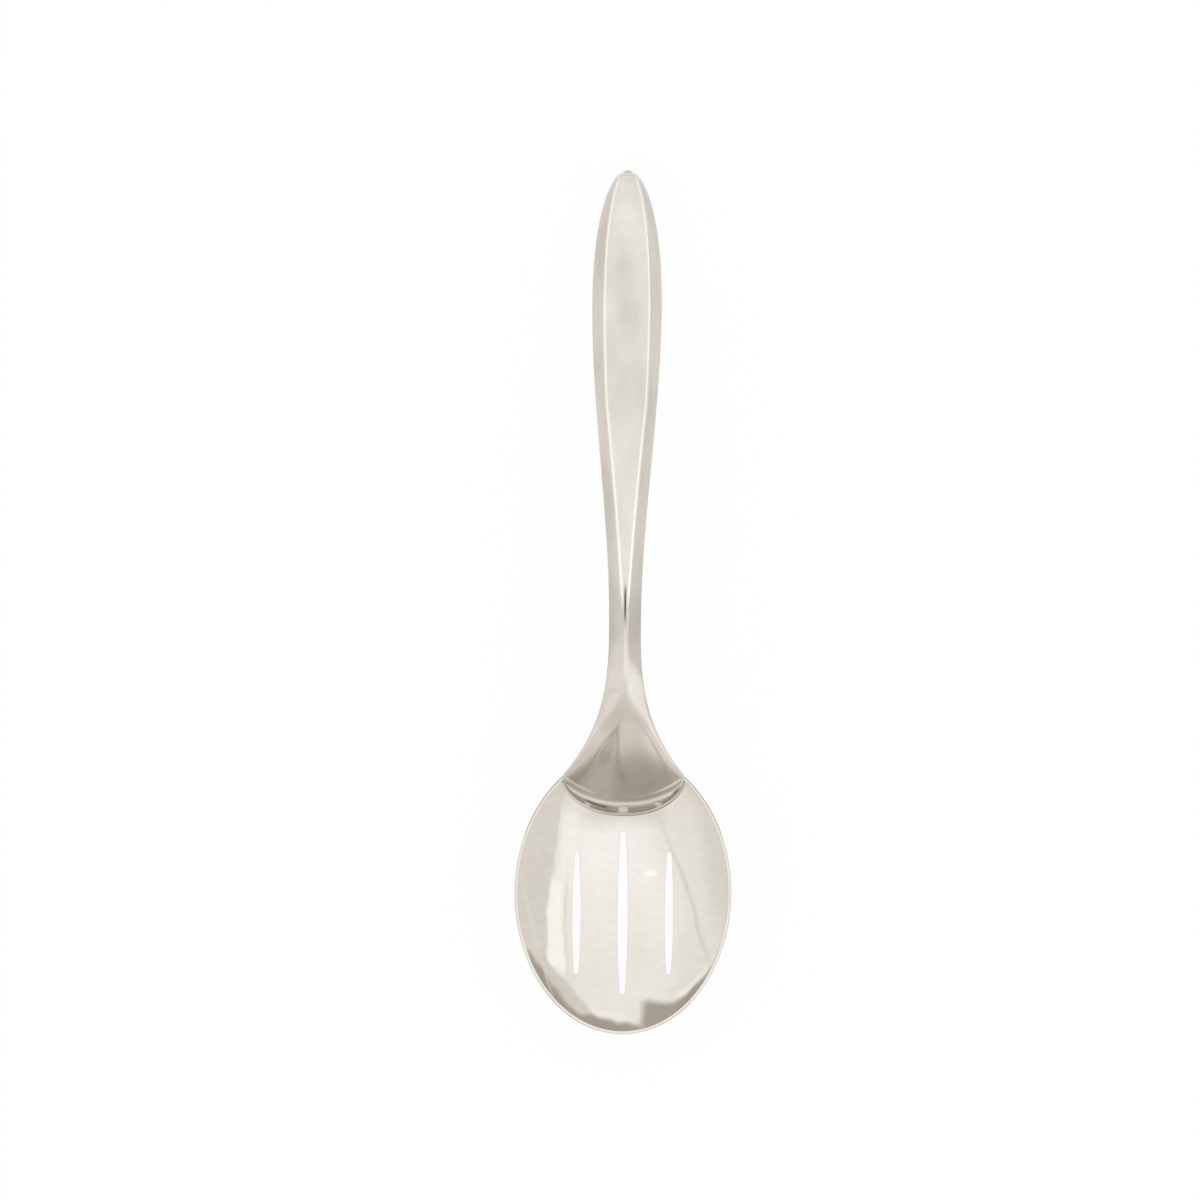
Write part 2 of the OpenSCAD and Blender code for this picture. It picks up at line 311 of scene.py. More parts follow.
def make_piece(name, points, faces, node):
    mesh = bpy.data.meshes.new(name)
    mesh.from_pydata([tuple(p) for p in points], [], faces)
    mesh.validate()
    piece = bpy.data.objects.new(name, mesh)
    bpy.context.collection.objects.link(piece)
    mesh.polygons.foreach_set("use_smooth", [True] * len(mesh.polygons))
    mesh.set_sharp_from_angle(angle=sharp_angle)
    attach(piece, "root")
    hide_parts(node)
    print(f"{name}: {len(mesh.vertices)} points, {len(mesh.polygons)} faces")
    return piece


def net_faces(rows, cols, first, flip):
    faces = []
    for i in range(rows - 1):
        for j in range(cols - 1):
            a = first + i * cols + j
            quad = (a, a + 1, a + cols + 1, a + cols)
            faces.append(quad[::-1] if flip else quad)
    return faces


# %% Choose where the rows and columns of a shell run
# Rows crowd at the lip and at the tip, columns crowd at the ridges and at the seam,
# because those are the places that bend most.
row_count, facet_cols, bevel_cols = 260, 12, 24


def rows_of_y(inset):
    turn = (1 - np.cos(np.pi * np.arange(row_count) / row_count)) / 2
    return mix(corner_y + inset, tip_y - inset, turn)


def columns_of_s(y):
    out = np.linspace(0, 1, bevel_cols + 1)[1:]
    crowd = mix(np.sin(out * np.pi / 2), out ** 2, (1 - out) ** 2)
    f = facet(y)[:, None]
    flat = f * (1 - (1 - np.linspace(0, 1, facet_cols + 1)) ** 2)[None, :]
    bevel = f + (1 - f) * crowd[None, :]
    half = np.concatenate([flat, bevel], axis=1)
    return np.concatenate([-half[:, :0:-1], half], axis=1)


def shell_points(skin, inset):
    y = rows_of_y(inset)
    s = columns_of_s(y)
    return skin(np.broadcast_to(y[:, None], s.shape), s, inset)


# %% Close a pair of nets into a shell
def close_shell(outer, inner, tip_outer, tip_inner, front):
    """The points and faces of a closed sheet; front says which way its outside looks."""
    rows, cols = outer.shape[:2]
    points = list(outer.reshape(-1, 3)) + [tip_outer] + list(inner.reshape(-1, 3)) + [tip_inner]
    tip, under = rows * cols, rows * cols + 1
    under_tip = under + rows * cols
    last = (rows - 1) * cols
    faces = net_faces(rows, cols, 0, False) + net_faces(rows, cols, under, True)
    for i in range(rows - 1):
        left, right = i * cols, i * cols + cols - 1
        faces.append((right, under + right, under + right + cols, right + cols))
        faces.append((left, left + cols, under + left + cols, under + left))
    for j in range(cols - 1):
        faces.append((j, under + j, under + j + 1, j + 1))
        faces.append((last + j, last + j + 1, tip))
        faces.append((under + last + j + 1, under + last + j, under_tip))
    faces.append((last + cols - 1, under + last + cols - 1, under_tip, tip))
    faces.append((last, tip, under_tip, under + last))
    return points, faces if front else [f[::-1] for f in faces]


# %% [markdown]
# ## The front shell
# The upper half of the handle is one deep pressing, with the facet, the two ridges and the
# scoop in it. It could be modelled by hand with a subdivided cage, but the formulas keep
# both ridges exact and leave no lump for a reflection to catch on. It ends over the bowl
# in a rolled lip. The roll is a curve between two lines: the bowed edge of the scoop, and
# the foot that stands on the inside of the bowl.

# %% Build the front shell
lip_side_power, lip_side_root, lip_rows = 2.2, 0.6, 14
lip_roll_share, lip_dip_share = 0.62, 0.34


def foot_of(s, inset):
    """The bowed line on which the lip stands, on the inside of the bowl."""
    x = s * (flare_w / 2 - inset)
    drop = np.power(np.maximum(1 - np.power(np.abs(s), lip_side_power), 0.0), lip_side_root)
    y = corner_y - lip_side - (lip_bow + lip_wall_l - lip_side) * drop + inset * lean_share
    return np.stack([x, y, inside_z(x, y) + fit], axis=-1)


def lip_rows_of(top_out, top_in, s, inset):
    """Rows of points that roll from the foot up to the edge of the scoop."""
    foot_out, foot = foot_of(s, 0.0), foot_of(s, inset)
    knee = np.stack([
        top_out[:, 0],
        mix(top_out[:, 1], foot_out[:, 1], lip_roll_share),
        mix(top_out[:, 2], foot_out[:, 2], lip_dip_share),
    ], axis=-1)
    rows = []
    for row in range(lip_rows):
        u = row / lip_rows
        roll = (1 - u) ** 2 * foot_out + 2 * u * (1 - u) * knee + u * u * top_out
        rows.append(mix(foot, top_in, u) + roll - mix(foot_out, top_out, u))
    return np.array(rows)


front_outer = shell_points(front_skin, 0.0)
front_inner = shell_points(front_skin, shell_t)
lip_s = columns_of_s(np.array([corner_y]))[0]
lip_outer = lip_rows_of(front_outer[0], front_outer[0], lip_s, 0.0)
lip_inner = lip_rows_of(front_outer[0], front_inner[0], lip_s, shell_t)
seam_tip_z = float(edge_z(tip_y))
front_points, front_faces = close_shell(
    np.concatenate([lip_outer, front_outer]),
    np.concatenate([lip_inner, front_inner]),
    np.array([0, tip_y, seam_tip_z + seam_h / 2]),
    np.array([0, tip_y - shell_t, seam_tip_z + seam_h / 2]),
    True,
)
front_shell = make_piece("front_shell", front_points, front_faces, "handle_front_shell")

# %% [markdown]
# ## Painted light and shade on the front shell
# The ridges and the nose get a painted highlight: a thin line of brighter steel colour,
# where the steel also wears satin. The neck is dulled towards a darker film, thickest at
# its middle. Where the two ridges run together a dark paint, no metal, puts a painted shade
# in the slit, and two more painted shades lie under the roll of the lip. Each is a number
# from 0 to 1 at every point of the shell, and the steel reads it later.

# %% Mark the painted highlight on the ridges, the dull neck and the painted shade in the slit
ridge_line, ridge_shift, nose_line_y = 0.34 * MM, 0.08 * MM, tip_y - 1.7 * MM
highlight_start, film_half, film_top = 12 * MM, 15 * MM, 0.22
slit_y, slit_half, slit_w, slit_end_power = neck_y + 5.5 * MM, 5.0 * MM, 0.34 * MM, 4
outer_y = np.broadcast_to(rows_of_y(0.0)[:, None], front_outer.shape[:2])
outer_s = columns_of_s(rows_of_y(0.0))
from_ridge = (np.abs(outer_s) - facet(outer_y)) * half_w(outer_y, 0.0) - ridge_shift
# painted highlight along both ridges, fading in above the neck, and across the nose
highlight_on_ridges = np.exp(-np.square(from_ridge / ridge_line)) * smooth((outer_y - neck_y) / highlight_start)
highlight_on_nose = np.exp(-np.square((outer_y - nose_line_y) / ridge_line)) * (from_ridge < 0)
along_slit = np.exp(-np.power((outer_y - slit_y) / slit_half, slit_end_power))
marks = {
    "painted_highlight": np.maximum(highlight_on_ridges, highlight_on_nose),
    # painted shade along the slit where the ridges run together
    "painted_shade": along_slit * np.exp(-np.square(outer_s * half_w(outer_y, 0.0) / slit_w)),
    # a darker, duller film, thickest at the neck
    "neck_dulling": film_top * np.exp(-np.square((outer_y - neck_y) / film_half)),
}

# %% Mark the painted shade under the lip, and give all marks to the shell
# painted shade in two spans under the roll of the lip
lip_shade_u, lip_shade_half, lip_shade_fade = 0.38, 0.08, 0.06
lip_shade_spans = ((-0.66, -0.24), (0.78, 0.95))
lip_marks = {mark: np.zeros(lip_outer.shape[:2]) for mark in marks}
lip_u = (np.arange(lip_rows) / lip_rows)[:, None]
for s_from, s_to in lip_shade_spans:
    window = smooth((lip_s - s_from) / lip_shade_fade) * smooth((s_to - lip_s) / lip_shade_fade)
    lip_marks["painted_shade"] += np.exp(-np.square((lip_u - lip_shade_u) / lip_shade_half)) * window
for mark, amount in marks.items():
    drawn = np.concatenate([lip_marks[mark], amount]).ravel()
    values = np.zeros(len(front_points))
    values[:drawn.size] = drawn
    front_shell.data.attributes.new(mark, "FLOAT", "POINT").data.foreach_set("value", values)
print("marks on the front shell:", ", ".join(marks))

# %% [markdown]
# ## The back shell
# The lower half of the handle is a second pressing. The photo can't show it, but the
# hollow handle needs it. A mirrored front shell would put two ridges under the fingers, so
# the back is plainly rounded, and its tongue hugs the underside of the bowl.

# %% Build the back shell
back_outer = shell_points(back_skin, 0.0)
back_inner = shell_points(back_skin, shell_t)
back_points, back_faces = close_shell(
    back_outer,
    back_inner,
    np.array([0, tip_y, seam_tip_z - seam_h / 2]),
    np.array([0, tip_y - shell_t, seam_tip_z - seam_h / 2]),
    False,
)
back_shell = make_piece("back_shell", back_points, back_faces, "handle_back_shell")

# %% [markdown]
# ## The welds
# A weld on such a spoon is dressed flush and polished over, so it shows only as a fine
# line. Each bead is a rod: one small ring of points after another along the joint.

# %% Build a rod along a list of rings
def holds(points, faces):
    """The volume inside the faces, which is negative if they look inward."""
    total = 0.0
    for f in faces:
        for k in range(1, len(f) - 1):
            total += np.dot(points[f[0]], np.cross(points[f[k]], points[f[k + 1]])) / 6
    return total


def make_rod(name, rings, node):
    rings = np.array(rings)
    count, sides = rings.shape[:2]
    faces = []
    for i in range(count - 1):
        for k in range(sides):
            a, b = i * sides + k, i * sides + (k + 1) % sides
            faces.append((a, b, b + sides, a + sides))
    faces.append(tuple(range(sides))[::-1])
    faces.append(tuple((count - 1) * sides + k for k in range(sides)))
    points = rings.reshape(-1, 3)
    # a rod that is drawn the other way round holds less than nothing, so it is turned
    if holds(points, faces) < 0:
        faces = [f[::-1] for f in faces]
    return make_piece(name, points, faces, node)


# %% Build the seam weld along both sides and round the tip
# Beside the lip the bead fills the small wedge between the lip's side and the rim.
proud, rim_sink = np.array([seam_crown, 0, 0]), 0.2 * MM


def on_bowl(point):
    """The point, let down onto the inside of the bowl if it hangs above it."""
    sheet = min(float(inside_z(point[0], point[1])) + fit, bowl_h - rim_sink)
    return np.array([point[0], point[1], min(point[2], sheet)])


def seam_rings(way):
    """The rings on one side of the handle, from the foot of the lip to the tip."""
    col = -1 if way > 0 else 0
    rings = []
    for i in range(1, lip_rows):
        high, inner = lip_outer[i, col], lip_inner[i, col]
        low = on_bowl(high)
        rings.append([inner, high, (high + low) / 2, low, on_bowl(inner)])
    for i in range(row_count):
        high, low = front_outer[i, col], back_outer[i, col]
        crown = (high + low) / 2 + way * proud
        rings.append([front_inner[i, col], high, crown, low, back_inner[i, col]])
    return rings


tip_high = front_points[(lip_rows + row_count) * front_outer.shape[1]]
tip_low = np.array([0, tip_y, seam_tip_z - seam_h / 2])
tip_back = np.array([0, shell_t, 0])
tip_crown = (tip_high + tip_low) / 2 + np.array([0, seam_crown, 0])
tip_ring = [tip_high - tip_back, tip_high, tip_crown, tip_low, tip_low - tip_back]
seam_weld = make_rod(
    "seam_weld", seam_rings(-1) + [tip_ring] + seam_rings(1)[::-1], "handle_seam_weld")

# %% Build the fillet along the lip
# A real fillet is slightly hollow, so its face is drawn in between its two legs.
fillet_steps, hollow_share = 6, 0.22


def fillet(corner, toe, top):
    """A ring across the fillet: its root in the corner, then its face from toe to top."""
    ring = [corner]
    for k in range(fillet_steps + 1):
        u = k / fillet_steps
        face = mix(toe, top, u)
        ring.append(mix(face, corner, hollow_share * 4 * u * (1 - u)))
    return ring


lip_rings = []
for j, s in enumerate(lip_s):
    foot = lip_outer[0, j]
    toe_x, toe_y = foot[0] + lip_leg * s / 2, foot[1] - lip_leg
    toe = np.array([toe_x, toe_y, float(inside_z(toe_x, toe_y)) + fit])
    reach = np.linalg.norm(lip_outer[:, j] - foot, axis=-1)
    top = np.array([np.interp(lip_leg, reach, lip_outer[:, j, k]) for k in range(3)])
    lip_rings.append(fillet(foot, toe, top))
lip_weld = make_rod("lip_fillet", lip_rings, "lip_weld")

# %% Build the fillet under the bowl
# This one climbs most of the way up the end of the tongue.
heel_climb_share = 0.8
heel_rings = []
for j in range(1, back_outer.shape[1] - 1):
    top, bottom = back_inner[0, j], back_outer[0, j]
    toe_y = bottom[1] - heel_leg
    toe = np.array([bottom[0], toe_y, float(outside_z(bottom[0], toe_y)) - fit])
    heel_rings.append(fillet(top, toe, mix(top, bottom, heel_climb_share)))
heel_weld = make_rod("heel_fillet", heel_rings, "heel_weld")

# %% [markdown]
# ## The bowl
# The slots could be cut by a boolean, but that leaves long thin faces, and a mirror shows
# every one of them. Instead the sheet is drawn flat in plan, with its slots already in
# it, filled with an even net of small triangles, and then lifted to the bowl's height.
# The slots' edges and the rim are rounded by thin strips, because a polished edge is
# never sharp, and that is where the bright lines come from.

# %% Draw the outlines in plan
oval_count, net_gap = 300, 0.9 * MM
net_margin = 0.6 * net_gap
edge_r, slot_steps, slot_cap_steps = 0.16 * MM, 30, 8


def oval(grow):
    a = np.linspace(0, 2 * np.pi, oval_count, endpoint=False)
    half, half_l = bowl_w / 2 - rim_w + grow, bowl_l / 2 - rim_w + grow
    return np.stack([half * np.cos(a), bowl_y + half_l * np.sin(a)], axis=-1)


def slot_outline(index, grow):
    """A barrel-shaped slot with round ends, made larger by grow all round."""
    length, width = slot_sizes[index]
    end_w = width * slot_end_share
    straight = (length - end_w) / 2
    v = np.linspace(-1, 1, slot_steps + 1)
    side = np.stack([mix(width, end_w, v * v) / 2 + grow, v * straight], axis=-1)
    a = np.linspace(0, np.pi, slot_cap_steps + 1)[1:-1]
    cap = (end_w / 2 + grow) * np.stack([np.cos(a), np.sin(a)], axis=-1) + [0, straight]
    half = np.concatenate([side, cap])
    ring = np.concatenate([half, -half])
    return ring + [(index - 1) * slot_pitch, bowl_y - slot_forward]


# %% Fill a sheet with small triangles
fill_epsilon = 1e-5


def inside_ring(points, ring):
    """Tells for each point whether it lies inside the ring."""
    x, y = points[:, 0][:, None], points[:, 1][:, None]
    x0, y0 = ring[:, 0][None, :], ring[:, 1][None, :]
    x1, y1 = np.roll(x0, -1, 1), np.roll(y0, -1, 1)
    crosses = (y0 > y) != (y1 > y)
    slope = np.where(crosses, (x1 - x0) * (y - y0) / np.where(y1 == y0, 1, y1 - y0) + x0, 0)
    return (np.sum(crosses & (x < slope), axis=1) % 2).astype(bool)


def net_points():
    """An even net of points in rows, each row shifted by half a step."""
    step_y = net_gap * math.sqrt(3) / 2
    rows = int(bowl_l / step_y) + 2
    cols = int(bowl_w / net_gap) + 2
    grid = [
        ((i - cols / 2 + 0.5 * (k % 2)) * net_gap, bowl_y - bowl_l / 2 + k * step_y)
        for k in range(rows) for i in range(cols)
    ]
    return np.array(grid)


def filled_sheet(grow_rim, grow_slot):
    """The plan of one face of the sheet: its points, and triangles between them."""
    rings = [oval(grow_rim)] + [slot_outline(k, grow_slot) for k in range(len(slot_sizes))]
    net = net_points()
    keep = inside_ring(net, oval(grow_rim - net_margin))
    for k in range(len(slot_sizes)):
        keep &= ~inside_ring(net, slot_outline(k, grow_slot + net_margin))
    points = np.concatenate(rings + [net[keep]])
    edges, first = [], 0
    for ring in rings:
        n = len(ring)
        edges += [(first + k, first + (k + 1) % n) for k in range(n)]
        first += n
    scaled = [Vector(p / MM) for p in points]
    found = delaunay_2d_cdt(scaled, edges, [], 0, fill_epsilon)
    flat = np.array([v[:] for v in found[0]]) * MM
    # the fill rounds the points that it was given, so they are put back exactly
    for place, given in enumerate(found[3]):
        if given:
            flat[place] = points[given[0]]
    tris = np.array(found[2])
    middle = flat[tris].mean(axis=1)
    good = inside_ring(middle, rings[0])
    for ring in rings[1:]:
        good &= ~inside_ring(middle, ring)
    return flat, tris[good]


# %% Lift both faces of the sheet and round its edges
rim_from, rim_to = -0.25 * MM, 0.7 * MM
top_flat, top_tris = filled_sheet(rim_from, edge_r)
under_flat, under_tris = filled_sheet(rim_to, edge_r)

bowl_points, bowl_normals, bowl_faces, point_at = [], [], [], {}
snap = 0.0001 * MM


def add_points(points, normals):
    """Adds points that aren't there yet, and returns the number of each."""
    numbers = []
    for point, normal in zip(points, normals):
        place = tuple(np.round(point / snap).astype(int))
        if place not in point_at:
            point_at[place] = len(bowl_points)
            bowl_points.append(tuple(point))
            bowl_normals.append(tuple(normal))
        numbers.append(point_at[place])
    return np.array(numbers)


def add_strip(ring_points, ring_normals):
    """Rings of points one after another, joined by quads; the order faces outward."""
    numbers = [add_points(p, n) for p, n in zip(ring_points, ring_normals)]
    for a, b in zip(numbers, numbers[1:]):
        bowl_faces.extend(zip(a, b, np.roll(b, -1), np.roll(a, -1)))


def lifted(flat, height):
    return np.concatenate([flat, height(flat[:, 0], flat[:, 1])[:, None]], axis=1)


top_numbers = add_points(
    lifted(top_flat, inside_z), facing(inside_z, top_flat[:, 0], top_flat[:, 1], True))
bowl_faces.extend(map(tuple, top_numbers[top_tris]))
under_numbers = add_points(
    lifted(under_flat, outside_z), facing(outside_z, under_flat[:, 0], under_flat[:, 1], False))
bowl_faces.extend(map(tuple, under_numbers[under_tris][:, ::-1]))
print(f"bowl sheet: {len(top_tris)} and {len(under_tris)} triangles")

# %% [markdown]
# ## The rim
# Seen in section the rim has a rounded crown inside and a ground bevel outside. The
# corners of the polygon are cut again and again, which leaves one soft curve, as the
# grinding belt and the wheel do one after another.

# %% Grind and round the rim
corner_cut = 0.25
# each corner of the section: how far out of the rim's inner line, and how far down
rim_corners = np.array([
    (-0.03, 0), (0.28, 0), (0.47, 0), (0.6, 0.12), (0.74, 0.25), (0.79, 0.31)]) * MM


def cut_corners(points, times=3):
    for _ in range(times):
        a, b = points[:-1], points[1:]
        cut = np.stack([mix(a, b, corner_cut), mix(a, b, 1 - corner_cut)], axis=1)
        points = np.concatenate([points[:1], cut.reshape(-1, 2), points[-1:]])
    return points


angles = np.linspace(0, 2 * np.pi, oval_count, endpoint=False)
outward = np.stack([np.cos(angles), np.sin(angles)], axis=-1)
inner_edge, outer_edge = oval(rim_from), oval(rim_to)
inner_drop = bowl_h - inside_z(inner_edge[:, 0], inner_edge[:, 1])
outer_drop = bowl_h - outside_z(outer_edge[:, 0], outer_edge[:, 1])
rim_points = []
for k in range(oval_count):
    section = cut_corners(np.array(
        [(rim_from, inner_drop[k]), *rim_corners, (rim_to, outer_drop[k])]))
    flat = oval(0.0)[k] + section[:, :1] * outward[k]
    rim_points.append(np.concatenate([flat, bowl_h - section[:, 1:]], axis=1))
rim_points = np.array(rim_points).transpose(1, 0, 2)
along = np.roll(rim_points, -1, axis=1) - np.roll(rim_points, 1, axis=1)
rim_normals = np.cross(np.gradient(rim_points, axis=0), along)
rim_normals /= np.linalg.norm(rim_normals, axis=-1, keepdims=True)
add_strip(list(rim_points), list(rim_normals))
print(f"highest point of the rim: {rim_points[..., 2].max() / MM:.3f} mm")

# %% [markdown]
# ## The walls of the slots
# The slots are punched, and then the wheel rounds both of their edges. So a wall is one
# ring of points after another: round the upper edge first, and then round the lower one.

# %% Round the edges of the slots
slot_wall_steps = 5


def edge_ring(index, away, a, face_z, side):
    """The ring at an angle a into an edge, with its normals; side is 1 above, -1 below."""
    flat = slot_outline(index, edge_r * (1 - math.sin(a)))
    z = face_z(flat[:, 0], flat[:, 1]) - side * edge_r * (1 - math.cos(a))
    up = np.full((len(flat), 1), side * math.cos(a))
    ring = np.concatenate([flat, z[:, None]], axis=1)
    return ring, np.concatenate([-away * math.sin(a), up], axis=1)


turns = [math.pi / 2 * k / slot_wall_steps for k in range(slot_wall_steps + 1)]
for index in range(len(slot_sizes)):
    base = slot_outline(index, 0.0)
    tangent = np.roll(base, -1, axis=0) - np.roll(base, 1, axis=0)
    away = np.stack([tangent[:, 1], -tangent[:, 0]], axis=-1)
    away /= np.linalg.norm(away, axis=-1, keepdims=True)
    wall = [edge_ring(index, away, a, inside_z, 1) for a in turns]
    wall += [edge_ring(index, away, a, outside_z, -1) for a in turns[::-1]]
    rings, normals = zip(*wall[::-1])
    add_strip(rings, normals)
print(f"slots: {len(slot_sizes)}, edges rounded to {edge_r / MM:.2f} mm")

# %% Sew the bowl together and give it its exact normals
bowl_mesh = bpy.data.meshes.new("bowl_sheet")
bowl_mesh.from_pydata(bowl_points, [], [tuple(int(k) for k in f) for f in bowl_faces])
bowl_mesh.polygons.foreach_set("use_smooth", [True] * len(bowl_mesh.polygons))
bowl_mesh.validate()
bowl_mesh.update()
bowl_mesh.normals_split_custom_set_from_vertices([Vector(n).normalized() for n in bowl_normals])
bowl = bpy.data.objects.new("bowl_sheet", bowl_mesh)
bpy.context.collection.objects.link(bowl)
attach(bowl, "root")
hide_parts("bowl")
print(f"bowl_sheet: {len(bowl_mesh.vertices)} points, {len(bowl_mesh.polygons)} faces")

# %% [markdown]
# ## Colour
# Colours are written as the hex values that one reads off a screen, and one function
# turns them into the linear values that a shader works with.

# %% Turn a screen colour into a linear one
def linear(hex_colour):
    channels = [int(hex_colour[k:k + 2], 16) / 255 for k in (1, 3, 5)]
    return [c / 12.92 if c <= 0.04045 else ((c + 0.055) / 1.055) ** 2.4 for c in channels] + [1.0]


# %% [markdown]
# ## Nodes
# A material is a tree of nodes. Each node needs a kind, a few settings and its links, so
# one small function adds a node with all three, and a recipe stays short to read.

# %% Add one node
def add_node(tree, kind, settings=None, links=None):
    """Adds a node, sets its properties and inputs, and links inputs to other outputs."""
    node = tree.nodes.new(kind)
    for key, value in (settings or {}).items():
        if isinstance(key, str) and hasattr(node, key):
            setattr(node, key, value)
        else:
            node.inputs[key].default_value = value
    for key, output in (links or {}).items():
        tree.links.new(output, node.inputs[key])
    return node


# %% [markdown]
# ## Polished stainless steel
# The whole spoon is 18/10 stainless steel, which is bright and very slightly warm. Its
# surface was ground with ever finer belts and then buffed on a cloth wheel, and the two
# parts came off the wheel a little differently:
#
# - The bowl was pressed from bright sheet, and the wheel reaches all of it, so it is a
#   clean mirror. What the eye sees of that is a sharp reflection that wanders a little,
#   because a pressed sheet is never quite even.
# - The handle was belted after its halves were welded. Hair-fine lines run along it with
#   the last belt, so its reflections are a little softer. It is also where the spoon is
#   held, and handling leaves a thin dull film in blotches.
#
# The welds get the same wheel, but they stay a touch rougher. The metal's colour, the
# waves, the lines and the film are therefore one recipe with three sets of amounts.

# %% Set what the three finishes share
wave_length = 18.2 * MM
line_gap, line_length = 0.4167 * MM, 16.67 * MM
blotch_w, blotch_l, blotch_from, blotch_to = 11.1 * MM, 26.3 * MM, 0.42, 0.75
smoothest, roughest, satin_roughness = 0.7, 1.5, 0.28
# the second colour paints the highlight on the ridges, the third paints the shade in the slit and
# under the lip
film_colour, highlight_colour, shade_colour = "#8F877C", "#F3EFE8", "#26221E"


# %% Make the polished steel
def stretched_noise(tree, place, across, along, detail):
    """Noise in patches that are across wide and along long, in metres."""
    stretch = add_node(
        tree, "ShaderNodeMapping", {"Scale": (1 / across, 1 / along, 1 / across)},
        {"Vector": place})
    noise = add_node(
        tree, "ShaderNodeTexNoise", {"Scale": 1.0, "Detail": detail},
        {"Vector": stretch.outputs["Vector"]})
    return noise.outputs["Fac"]


def mark_of(tree, name):
    """One of the front shell's marks; on a piece without it the amount is 0."""
    return add_node(tree, "ShaderNodeAttribute", {"attribute_name": name}).outputs["Fac"]


def polished_steel(name, colour, roughness, wave_depth, line_depth, film_share):
    material = bpy.data.materials.new(name)
    material.use_nodes = True
    tree = material.node_tree
    tree.nodes.clear()
    place = add_node(tree, "ShaderNodeNewGeometry").outputs["Position"]
    # slow waves of the pressing, and the belt's lines along the spoon
    wave = add_node(
        tree, "ShaderNodeTexNoise", {"Scale": 1 / wave_length, "Detail": 1.0},
        {"Vector": place}).outputs["Fac"]
    lines = stretched_noise(tree, place, line_gap, line_length, 2.0)
    wave_bump = add_node(
        tree, "ShaderNodeBump", {"Strength": 1.0, "Distance": wave_depth}, {"Height": wave})
    line_bump = add_node(
        tree, "ShaderNodeBump", {"Strength": 1.0, "Distance": line_depth},
        {"Height": lines, "Normal": wave_bump.outputs["Normal"]})
    rough = add_node(
        tree, "ShaderNodeMapRange",
        {"To Min": roughness * smoothest, "To Max": roughness * roughest}, {"Value": wave})
    # handling leaves a thin film in soft blotches, and the neck is dulled more where it is marked
    blotch = stretched_noise(tree, place, blotch_w, blotch_l, 3.0)
    film = add_node(
        tree, "ShaderNodeMapRange",
        {"From Min": blotch_from, "From Max": blotch_to, "To Max": film_share},
        {"Value": blotch})
    all_film = add_node(
        tree, "ShaderNodeMath", {"operation": "ADD"},
        {0: film.outputs["Result"], 1: mark_of(tree, "neck_dulling")})
    tone = add_node(
        tree, "ShaderNodeMix",
        {"data_type": "RGBA", "A": linear(colour), "B": linear(film_colour)},
        {"Factor": all_film.outputs["Value"]})
    # the ridges get a painted highlight: a brighter steel colour, and satin roughness where they
    # wear
    highlight_amount = mark_of(tree, "painted_highlight")
    bright = add_node(
        tree, "ShaderNodeMix", {"data_type": "RGBA", "B": linear(highlight_colour)},
        {"A": tone.outputs["Result"], "Factor": highlight_amount})
    satin = add_node(
        tree, "ShaderNodeMix", {"data_type": "FLOAT", "B": satin_roughness},
        {"A": rough.outputs["Result"], "Factor": highlight_amount})
    # painted shade in the slit and under the lip: a dull dark paint, no metal
    shade_amount = mark_of(tree, "painted_shade")
    shaded_tone = add_node(
        tree, "ShaderNodeMix", {"data_type": "RGBA", "B": linear(shade_colour)},
        {"A": bright.outputs["Result"], "Factor": shade_amount})
    metal = add_node(tree, "ShaderNodeMath", {"operation": "SUBTRACT", 0: 1.0}, {1: shade_amount})
    surface = add_node(
        tree, "ShaderNodeBsdfPrincipled", {},
        {"Base Color": shaded_tone.outputs["Result"], "Roughness": satin.outputs["Result"],
         "Metallic": metal.outputs["Value"], "Normal": line_bump.outputs["Normal"]})
    add_node(tree, "ShaderNodeOutputMaterial", {}, {"Surface": surface.outputs["BSDF"]})
    return material


# %% Finish the three kinds of piece
# name: colour, roughness, depth of the waves, depth of the lines, thickest film
finishes = {
    "mirror_polished_stainless_steel": ("#D9D3CA", 0.05, 0.04 * MM, 0.0012 * MM, 0.08),
    "belt_polished_stainless_steel": ("#D5CEC5", 0.06, 0.04 * MM, 0.005 * MM, 0.3),
    "polished_weld_bead": ("#D3CDC4", 0.12, 0.06 * MM, 0.003 * MM, 0.1),
}
bowl_steel, handle_steel, weld_steel = [
    polished_steel(name, *amounts) for name, amounts in finishes.items()]
bowl.data.materials.append(bowl_steel)
for piece in (front_shell, back_shell):
    piece.data.materials.append(handle_steel)
for piece in (seam_weld, lip_weld, heel_weld):
    piece.data.materials.append(weld_steel)
print("materials:", bowl_steel.name, handle_steel.name, weld_steel.name)

# %% [markdown]
# ## The studio
# A mirror ball shows its whole surroundings in one disc: straight above in the middle,
# the horizon at 1.41 of the way out. The steel reads the studio in the same way, because
# a surface that leans by a given amount looks up one given place on that disc. So the
# studio is planned on the disc: a tent that dims towards the horizon, then one row for
# each bright panel or dull screen in it.

# %% Find each direction's place on the disc
world = bpy.data.worlds.new("white_tent")
bpy.context.scene.world = world
world.use_nodes = True
sky = world.node_tree
sky.nodes.clear()
direction = add_node(sky, "ShaderNodeTexCoord").outputs["Generated"]
parts = add_node(sky, "ShaderNodeSeparateXYZ", {}, {"Vector": direction})
# a hair more than 1, so that nothing is divided by zero straight down
above = add_node(
    sky, "ShaderNodeMath", {"operation": "ADD", 1: 1.0001}, {0: parts.outputs["Z"]})
spread = add_node(
    sky, "ShaderNodeMath", {"operation": "DIVIDE", 0: 2.0}, {1: above.outputs["Value"]})
root = add_node(sky, "ShaderNodeMath", {"operation": "SQRT"}, {0: spread.outputs["Value"]})
disc = add_node(
    sky, "ShaderNodeVectorMath", {"operation": "SCALE"},
    {"Vector": direction, "Scale": root.outputs["Value"]})
flat_disc = add_node(
    sky, "ShaderNodeVectorMath", {"operation": "MULTIPLY", 1: (1, 1, 0)},
    {0: disc.outputs["Vector"]})

